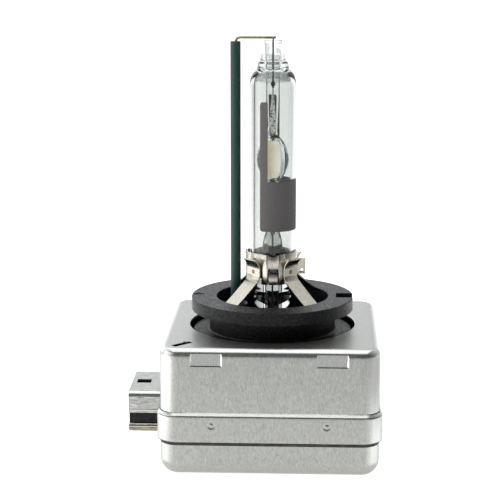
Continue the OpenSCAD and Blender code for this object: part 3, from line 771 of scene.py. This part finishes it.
def coating():
    """Matt band round the bulb with a stripe rising at each end, its corners rounded."""
    low, high = box_mm("antiglare_coating")
    glass = box_mm("outer_bulb")[1].x
    in_r, out_r = glass + 0.005, glass + 0.05
    band_top, rear_top = 23.2, high.z - 0.15
    left, stripe_front, stripe_rear, right = -121, -101, 75, 104
    corner = 0.6
    degree = math.radians(1) * glass
    nudge = 1e-4

    def edges(turn):
        """Lower and upper edge of the coating at this angle."""
        top = high.z if turn < stripe_front else rear_top if turn > stripe_rear else band_top
        lift = set_back(min(turn - left, right - turn) * degree, corner)
        past = max(stripe_front - turn, turn - stripe_rear)
        if past > 0:
            top -= set_back(past * degree, corner / 2)
        return low.z + lift, top - lift

    shells = []
    for start, end, pitch in ((left, stripe_front, 0.5), (stripe_front, stripe_rear, 1.5),
                              (stripe_rear, right, 0.5)):
        count = round((end - start) / pitch)
        rings = []
        for i in range(count + 1):
            turn = start + (end - start) * i / count
            bottom, top = edges(min(max(turn, start + nudge), end - nudge))
            rings.append([around(r, turn, z)
                          for r, z in ((in_r, bottom), (out_r, bottom), (out_r, top), (in_r, top))])
        shells.append((0, loft(rings, caps=True)))
    piece("antiglare_enamel", joined(shells), ENAMEL, ["antiglare_coating"], sharp=40)


FOIL_TURN = 25


def fold(u, z, depth=0.1):
    """How far the crumpled foil stands off its plane; u runs from -1 to 1 across it."""
    return depth * math.sin(7.1 * z + 4.3 * u) * math.cos(4.7 * z - 6.1 * u)


def foils():
    """Foil sealed in each stem: thin sheet with feathered edges, crumpled by the pinch of the glass."""
    middle_half, edge_half = 0.012, 0.004
    rows = 60
    across = [k / 4 - 1 for k in range(9)]
    for node in ("upper_foil", "lower_foil"):
        low, high = box_mm(node)
        widest = high.x / math.cos(math.radians(FOIL_TURN))
        rings = []
        for i in range(rows + 1):
            t = i / rows
            z = low.z + (high.z - low.z) * t
            away = t if node == "upper_foil" else 1 - t
            taper = 1 - 0.85 * max(0.0, (away - 0.25) / 0.75)
            half = widest * max(0.15, min(1.0, away / 0.2) ** 0.6 * taper)
            rings.append([(u * half, (fold(u, z) + side * middle_half) * (1 - u * u) + side * edge_half, z)
                          for side, row in ((1, across), (-1, across[::-1])) for u in row])
        piece(node + "_crumpled", turned(loft(rings, caps=True), -FOIL_TURN), FOIL, [node],
              sharp=180)


def leads():
    """Lead wires, with the dark weld bead where each one meets its foil."""
    radius = 0.12
    swell, start, length = 0.22, 0.1, 1.3
    for name, side in (("upper_lead", 1), ("lower_lead", -1)):
        low, high = box_mm(name)
        foil_end = low.z if side > 0 else high.z
        bead = [(0, foil_end - side * start)]
        bead += [(radius + swell * math.sin(math.radians(t)), foil_end + side * (start + length * t / 180))
                 for t in range(0, 181, 15)]
        bead += [(0, foil_end + side * 1.5)]
        parts = [(0, sweep([(0, 0, low.z), (0, 0, high.z)], radius)), (0, lathe(bead, steps=24))]
        piece(name + "_wire", joined(parts), MOLYBDENUM, [name])


# ---------------------------------------------------------------- return wire

def return_wire():
    """Wire from the tip of the glass, over and down through its ceramic sleeve."""
    low, high = box_mm("return_wire")
    radius, bend = 0.3, 0.9
    down_x, run_z = low.x + radius, high.z - radius
    corner = [(x, 0, z) for x, z in arc((down_x + bend, run_z - bend), bend, 180, 90, 14)]
    line = [(down_x, 0, low.z + radius)] + corner + [(-3.5, 0, run_z), (high.x - radius, 0, run_z)]
    weld = lathe(both_ways([(0.34, 0), (0.29, 0.2), (0.16, 0.31), (0, 0.34)]), steps=24)
    parts = [(0, sweep(line, radius)), (0, moved(weld, 0, 0, run_z - 0.05))]
    piece("return_wire_bent", joined(parts), NICKEL, ["return_wire"])


def return_sleeve():
    """Ceramic tube with slightly chamfered ends."""
    low, high = box_mm("return_sleeve")
    radius = (high.x - low.x) / 2
    bore, chamfer = 0.42, 0.08
    profile = [(bore, low.z), (radius - chamfer, low.z), (radius, low.z + chamfer),
               (radius, high.z - chamfer), (radius - chamfer, high.z), (bore + chamfer, high.z),
               (bore, high.z - chamfer)]
    tube = moved(lathe(profile, steps=64, closed=True), (low.x + high.x) / 2, 0, 0)
    piece("ceramic_sleeve", tube, CERAMIC, ["return_sleeve"], sharp=30)


# ---------------------------------------------------------------- burner mount

COLLAR_TURN = 3
COLLAR_GAP = 0.06
COLLAR_SHEET = 0.25


def collar_rise(turn, inner):
    """How far the band stands out at an angle: slanted flanks, with a tongue sprung back between them."""
    rib_rise, rib_foot, flank = 0.5, 2.25, 1.1
    tongue_half, tongue_rise = 0.88, 0.28
    away = min(abs((turn - 90 * k + 180) % 360 - 180) for k in (1, 2, 3))
    across = abs(inner * math.sin(math.radians(min(away, 90))))
    if across < tongue_half:
        return tongue_rise
    return rib_rise * min(max((rib_foot - across) / flank, 0), 1)


def collar():
    """Clamp collar: thin band with pairs of pressed ribs, a spring tongue between them, and two ears."""
    low, high = box_mm("collar")
    inner = box_mm("outer_bulb")[1].x + COLLAR_GAP
    turns = [i / 2 for i in range(720)]
    rings = [[around(inner + out + collar_rise(turn, inner), turn, z) for turn in turns]
             for out, z in ((0, low.z), (COLLAR_SHEET, low.z), (COLLAR_SHEET, high.z), (0, high.z))]

    def through(half_width, low_z, high_z, middle_y=0.0):
        """Block that cuts through the band on its +X side."""
        return bar((inner - 1, middle_y - half_width, low_z), (inner + 1.5, middle_y + half_width, high_z))

    below = low.z - 1
    slit_y, slit_half, slit_top = 0.98, 0.13, 5.5
    window_half, window_low, window_high = 0.95, 5.2, 6.15
    notch_half, notch_top = 1.45, 4.25
    dip_r, dip_z = 1.25, high.z + 0.85
    cutters = []
    for turn in (90, 180, 270):
        cutters.append(turned(through(window_half, window_low, window_high), turn))
        for side in (-1, 1):
            cutters.append(turned(through(slit_half, below, slit_top, side * slit_y), turn))
        cutters.append(turned(turned(drum(dip_r, -2, 2, 32), 90, "Y", (inner, 0, dip_z)), turn))
    for turn in (45, 135, 225, 315):
        cutters.append(turned(through(notch_half, below, notch_top), turn))
    parts = [(0, cut(loft(rings, closed=True), cutters))]
    outside = inner + COLLAR_SHEET
    ear_low, ear_high, ear_x = 4.3, 7.4, high.x * 0.995
    hole_r, hole_z = 0.28, 5.1
    for y in (-COLLAR_SHEET - 0.01, 0.01):
        ear = bar((outside - 0.08, y, ear_low), (ear_x, y + COLLAR_SHEET, ear_high))
        hole = turned(drum(hole_r, -1, 1, 24), 90, "X", (outside + 0.95, 0, hole_z))
        parts.append((0, cut(ear, [hole])))
    piece("clamp_collar", turned(joined(parts), COLLAR_TURN), STAINLESS, ["collar"],
          edge=0.035, sharp=30)


def leg(node, turn):
    """Strip leg: curled tip, weld pad on the collar, then a bend out and down into the base ring."""
    sheet, width = 0.3, 3.4
    weld_gap, weld_z = 0.02, 5.45
    pad_r = box_mm("outer_bulb")[1].x + COLLAR_GAP + COLLAR_SHEET + weld_gap + sheet / 2
    pad_low, pad_high, bend_r = 4.9, 5.8, 1.8
    curl_r, curl_end = 2.6, 122
    slope, foot_r = 36, 12
    curl = arc((pad_r + curl_r, pad_high), curl_r, curl_end, 180, 14)
    bend = arc((pad_r + bend_r, pad_low), bend_r, 180, 270 - slope, 14)
    bend_x, bend_z = bend[-1]
    run = foot_r - bend_x
    middle = (bend_x + run * 0.5, bend_z - run * 0.5 * math.tan(math.radians(slope + 1.2)))
    foot = (foot_r, bend_z - run * math.tan(math.radians(slope)))
    line = [Vector(p) for p in curl + bend + [middle, foot]]
    rings = []
    for i, point in enumerate(line):
        ahead = heading(line, i)
        out = Vector((-ahead.y, ahead.x)) * sheet / 2
        rings.append([(point.x + s * out.x, w * width / 2, point.y + s * out.y)
                      for s, w in ((1, -1), (1, 1), (-1, 1), (-1, -1))])
    nugget = lathe([(0, 0.05), (0.12, 0.045), (0.26, 0.02), (0.34, 0.045), (0.42, 0.0), (0.42, -0.05),
                    (0, -0.05)], steps=24)
    nugget = turned(nugget, 90, "Y", (pad_r + sheet / 2, 0, weld_z))
    strip = joined([(0, loft(rings, caps=True)), (1, nugget)])
    piece(node + "_strip", turned(strip, turn), [STAINLESS, WELD], [node], edge=0.03,
          sharp=40)


# ---------------------------------------------------------------- base

def base():
    """Black moulded base: keyed ring, neck, disc and a well with a guide for the burner's foot."""
    low, high = box_mm("lamp_base")
    ring = mounts["reference_ring"]["dims"]
    ring_r, ring_low = ring["r_mm"], high.z - ring["length_mm"]
    well_r, neck_r, disc_r = 10.95, 12.35, 15.5
    disc_z, floor_z = -6.6, -7.5
    guide_r, guide_bore, guide_z, hole_r = 3.4, 2.5, -4.0, 1.9
    boss_r, boss_bore, boss_z = 2.3, 1.05, -1.6
    mark_r, mark_depth, mark_x = 1.0, 0.15, -14.45
    e, fillet = 0.15, 0.4
    profile = arc((well_r + e, high.z - e), e, 180, 90, 4)
    profile += arc((ring_r - e, high.z - e), e, 90, 0, 4)
    profile += arc((ring_r - e, ring_low + e), e, 0, -90, 4)
    profile += arc((neck_r + fillet, ring_low - fillet), fillet, 90, 180, 4)
    profile += arc((neck_r + fillet, disc_z + fillet), fillet, 180, 270, 4)
    profile += arc((disc_r - e, disc_z - e), e, 90, 0, 4)
    profile += [(disc_r, low.z), (hole_r, low.z), (hole_r, floor_z)]
    profile += [(guide_bore, floor_z + 0.02), (guide_bore, guide_z - e)]
    profile += arc((guide_bore + e, guide_z - e), e, 180, 90, 3)
    profile += arc((guide_r - e, guide_z - e), e, 90, 0, 3)
    profile += [(guide_r, floor_z), (well_r, floor_z)]
    key_y, key_width, key_x, beyond_x = 0.15, 3.7, 12.5, 17
    key = bar((key_x, key_y - key_width / 2, -ring["length_mm"] - 1), (beyond_x, key_y + key_width / 2, 1))
    mark = lathe([(0, -mark_depth), (mark_r, -mark_depth), (mark_r + 0.12, 0.05), (0, 0.05)], steps=48)
    body = cut(lathe(profile, steps=192, closed=True), [key, moved(mark, mark_x, 0, high.z)])
    sleeve_low, sleeve_high = box_mm("return_sleeve")
    boss = [(boss_bore, floor_z - 0.5), (boss_bore, boss_z - e), (boss_bore + e, boss_z)]
    boss += arc((boss_r - e, boss_z - e), e, 90, 0, 3) + [(boss_r, floor_z - 0.5)]
    boss = moved(lathe(boss, steps=64, closed=True), (sleeve_low.x + sleeve_high.x) / 2, 0, 0)
    # The boss takes the finish with the painted highlight.
    piece("base_moulding", joined([(0, body), (1, boss)]), [MOULDING, LIP_HIGHLIGHT], ["lamp_base"],
          edge=0.06, sharp=50)


# ---------------------------------------------------------------- igniter can

BEAD_OUT = 0.55
BAND_OUT = 0.6
SEAM_Z = -18.55
BAND_LOW_Z = -23.75
PRESS_X = 11.8
PRESS_Z = -7.65
CLINCH_X = 10.8
CLINCH_Z = -20.1
CORNER_R = 3.5
SHEET = 0.5


def can_centre_and_half():
    """Middle of the can in X and Y, and half its width at the flat faces."""
    low, high = box_mm("lower_can")
    return ((low.x + high.x) / 2, (low.y + high.y) / 2), (high.x - low.x) / 2 - BAND_OUT


def can_ring(offset, z, corner_steps=10, side_steps=12):
    """Outline of the can moved outward by offset, at height z."""
    (cx, cy), half = can_centre_and_half()
    reach = half - CORNER_R
    corners = [arc((cx + sx * reach, cy + sy * reach), CORNER_R + offset, start, start + 90, corner_steps)
               for start, sx, sy in ((0, 1, 1), (90, -1, 1), (180, -1, -1), (270, 1, -1))]
    points = []
    for corner, following in zip(corners, corners[1:] + corners[:1]):
        (x0, y0), (x1, y1) = corner[-1], following[0]
        points += corner + [(x0 + (x1 - x0) * k / side_steps, y0 + (y1 - y0) * k / side_steps)
                            for k in range(1, side_steps)]
    return [(x, y, z) for x, y in points]


def hole_ring(radius, z):
    """Round hole on the lamp axis, with its points in step with the can's outline."""
    angles = [math.atan2(y, x) for x, y, _ in can_ring(0, z)]
    return [(radius * math.cos(a), radius * math.sin(a), z) for a in angles]


def socket_slot(low_z, high_z):
    """Block that cuts the socket's opening in the can's left side."""
    low, high = box_mm("socket_shield")
    (cx, _), half = can_centre_and_half()
    return bar((cx - half - 3, low.y - 0.05, low_z), (cx - half + 3, high.y + 0.05, high_z))


def pressed_window(x, side):
    """Tapered tool that presses a shallow rectangle in the front (side -1) or back (side 1)."""
    (cx, cy), half = can_centre_and_half()
    rings = []
    for depth, width, height in ((-0.2, 6.3, 2.55), (0.0, 6.0, 2.5), (0.3, 5.4, 2.3)):
        y = cy + side * half - side * depth
        rings.append([(cx + x + sx * width / 2, y, PRESS_Z + sz * height / 2)
                      for sx, sz in ((-1, -1), (1, -1), (1, 1), (-1, 1))])
    return loft(rings, caps=True)


def with_painted_shade(bm, low, high):
    """The same shell, with its faces between two heights marked for the painted shade."""
    for face in bm.faces:
        if low < face.calc_center_median().z < high:
            face.material_index = 1
    return bm


def upper_can():
    """Upper half of the can: drawn shell with a flared foot, a round hole and pressed windows."""
    low, high = box_mm("upper_can")
    mouth_z, top_z = low.z, high.z
    bend, lead_in, hole_r, hole_ease = 1.6, 0.6, 16.27, 0.08
    profile = [(0.0, mouth_z)]
    profile += raised(SEAM_Z, [(0.0, 0.05), (0.5, 0.06), (BEAD_OUT, 0.12), (0.53, 0.2), (0.45, 0.28),
                               (0.14, 0.62), (0.0, 0.78)])
    profile += [(0.0, top_z - bend - 1.0)]
    profile += arc((-bend, top_z - bend), bend, 0, 90, 10) + [(-bend - lead_in, top_z)]
    rings = [can_ring(x, z) for x, z in profile]
    rings += [hole_ring(hole_r + hole_ease, top_z), hole_ring(hole_r, top_z - hole_ease),
              hole_ring(hole_r, top_z - SHEET)]
    inside = arc((-bend, top_z - bend), bend - SHEET, 90, 0, 8) + [(-SHEET, mouth_z)]
    rings += [can_ring(x, z) for x, z in inside]
    cutters = [socket_slot(mouth_z - 1, box_mm("socket_shield")[1].z + 0.05)]
    cutters += [pressed_window(x, side) for side in (-1, 1) for x in (-PRESS_X, PRESS_X)]
    slot, notch = bar((-2.2, -0.65, -1), (2.2, 0.65, 1)), bar((-0.25, -0.1, -1), (0.25, 0.75, 1))
    cutters.append(turned(slot, 45, shift=(-16.45, -17.4, top_z)))
    cutters.append(turned(notch, 45, shift=(-15.8, -16.3, top_z)))
    # Painted shade along the seam under the flared foot.
    shell = with_painted_shade(cut(loft(rings, closed=True), cutters), SEAM_Z - 0.3, SEAM_Z + 0.11)
    # Painted shade also at the root of the foot where it faces left or right, and on the top and bottom walls
    # of the pressed windows.
    for face in shell.faces:
        z = face.calc_center_median().z
        at_root = abs(face.normal.x) > 0.35 and SEAM_Z + 0.64 < z < SEAM_Z + 0.76
        in_press = abs(abs(z - PRESS_Z) - 1.2) < 0.08 and abs(face.normal.z) > 0.6
        if at_root or in_press:
            face.material_index = 1
    piece("can_upper_shell", shell, [TIN_PLATE, CREVICE_SHADE], ["upper_can"], edge=0.05, sharp=32)


def clinch_tool():
    """Punch that leaves a ring-shaped pit with a low crown in it."""
    return lathe([(0, 0.02), (0.22, 0.04), (0.42, 0.15), (0.52, 0.16), (0.68, 0.1), (0.9, 0.0),
                  (0.95, -0.3), (0, -0.3)], steps=40)


def lower_can():
    """Lower half of the can: shell with the joining band round its mouth and a deep-radius bottom."""
    low, high = box_mm("lower_can")
    top_z, floor_z = high.z, low.z
    bend, ease, lap = 3.0, 0.1, 0.04
    outside = [(ease, top_z), (BAND_OUT - ease, top_z), (BAND_OUT, top_z - ease)]
    outside += raised(BAND_LOW_Z, [(BAND_OUT, 0.55), (0.58, 0.36), (0.5, 0.2), (0.3, 0.08), (0.12, -0.02),
                                   (0.02, -0.2), (0.0, -0.45)])
    outside += [(0.0, floor_z + bend + 0.6)] + arc((-bend, floor_z + bend), bend, 0, -90, 12)
    inside = arc((-bend, floor_z + bend), bend - SHEET, -90, 0, 8)
    inside += [(-SHEET, BAND_LOW_Z + 0.5), (lap, BAND_LOW_Z + 0.6), (lap, top_z - 0.05)]
    shell = loft([can_ring(x, z) for x, z in inside + outside], caps=True)
    cutters = [socket_slot(box_mm("socket_tray")[0].z - 0.05, top_z + 1)]
    (cx, cy), half = can_centre_and_half()
    for turn in (0, 90, 180):
        for x in (-CLINCH_X, CLINCH_X):
            punch = turned(clinch_tool(), -90, "X", (x, -half - BAND_OUT, CLINCH_Z))
            cutters.append(moved(turned(punch, turn), cx, cy, 0))
    # Painted shade along the lower edge of the band, where it turns in.
    shell = with_painted_shade(cut(shell, cutters), BAND_LOW_Z - 0.4, BAND_LOW_Z + 0.3)
    piece("can_lower_shell", shell, [TIN_PLATE, CREVICE_SHADE], ["lower_can"], edge=0.05, sharp=32)


# ---------------------------------------------------------------- plug socket

SOCKET_SHEET = 0.35


def channel(line, mouth_x, end_x):
    """Folded sheet that runs along X; line is its outer surface in (y, z)."""
    line = [Vector(p) for p in line]
    rings = []
    for i, point in enumerate(line):
        ahead = heading(line, i)
        inner = point + Vector((ahead.y, -ahead.x)) * SOCKET_SHEET
        rings.append([(mouth_x, *point), (end_x, *point), (end_x, *inner), (mouth_x, *inner)])
    return loft(rings, caps=True)


def mirrored(line, middle_y):
    """A half section followed by its mirror image about middle_y."""
    return line + [(2 * middle_y - y, z) for y, z in reversed(line)]


def socket_shield():
    """Upper shell of the socket: round shoulders, a scored line and a hem along each side, and a window."""
    low, high = box_mm("socket_shield")
    middle_y = (low.y + high.y) / 2
    side, top, foot = low.y, high.z, low.z
    bend = 1.1
    half = [(side + 0.12, foot), (side + 0.02, foot + 0.08), (side, foot + 0.2), (side + 0.01, foot + 0.55),
            (side + 0.12, foot + 0.66), (side + 0.12, foot + 0.8), (side + 0.03, foot + 0.92)]
    half += [(side + 0.03, top - 1.85), (side + 0.1, top - 1.8), (side + 0.03, top - 1.72)]
    half += arc((side + bend, top - bend), bend, 180, 90, 10)
    window = bar((-26.85, middle_y - 1.25, top - 1), (-24.05, middle_y + 1.25, top + 1))
    shell = cut(channel(mirrored(half, middle_y), low.x, high.x), [window])
    # Painted shade in the groove near the foot.
    piece("socket_upper_shell", with_painted_shade(shell, foot + 0.62, foot + 0.82), [SCUFFED, CREVICE_SHADE],
          ["socket_shield"], edge=0.03, sharp=40)


def socket_tray():
    """Lower shell of the socket, with its rim folded into a thin bright lip over a fold in painted shade."""
    low, high = box_mm("socket_tray")
    side, top, foot = low.y, high.z, low.z
    bend = 0.7
    half = [(side + 0.1, top), (side, top - 0.08), (side, top - 0.3), (side + 0.14, top - 0.42),
            (side + 0.14, top - 0.58), (side + 0.02, top - 0.7)]
    half += arc((side + bend, foot + bend), bend, 180, 270, 8)
    shell = channel(mirrored(half, (low.y + high.y) / 2)[::-1], low.x, high.x)
    # Painted shade in the fold under the lip.
    piece("socket_lower_shell", with_painted_shade(shell, top - 0.6, top - 0.4), [STAINED, CREVICE_SHADE],
          ["socket_tray"], edge=0.03, sharp=40)


# ---------------------------------------------------------------- carried-over nodes

def dress_nodes():
    """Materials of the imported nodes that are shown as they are."""
    finishes = {
        TUNGSTEN: ["upper_electrode", "lower_electrode"],
        MOULDING: ["igniter_housing", "housing_cover", "socket_body"],
        BRASS: ["hv_contact", "return_contact", "terminal_pins", "lead_frame"],
        SILICONE: ["plug_seal"],
        RESIN: ["potting_slab"],
        FERRITE: ["transformer_core"],
        BOBBIN: ["transformer_bobbin"],
        COPPER: ["secondary_winding", "primary_winding"],
        WHITE_CERAMIC: ["spark_gap_tube"],
        STAINLESS: ["spark_gap_caps"],
        DIPPED: ["capacitor"],
        LACQUER: ["bleed_resistor"],
    }
    for finish, nodes in finishes.items():
        for name in nodes:
            mesh = frame["nodes"][name].data
            mesh.materials.clear()
            mesh.materials.append(finish)


place_camera()
studio()
lay_floor()
outer_bulb()
arc_tube()
salts_film()
coating()
foils()
leads()
return_wire()
return_sleeve()
collar()
leg("rear_right_leg", 45)
leg("rear_left_leg", 135)
leg("front_left_leg", 225)
leg("front_right_leg", 315)
base()
upper_can()
lower_can()
socket_shield()
socket_tray()
dress_nodes()
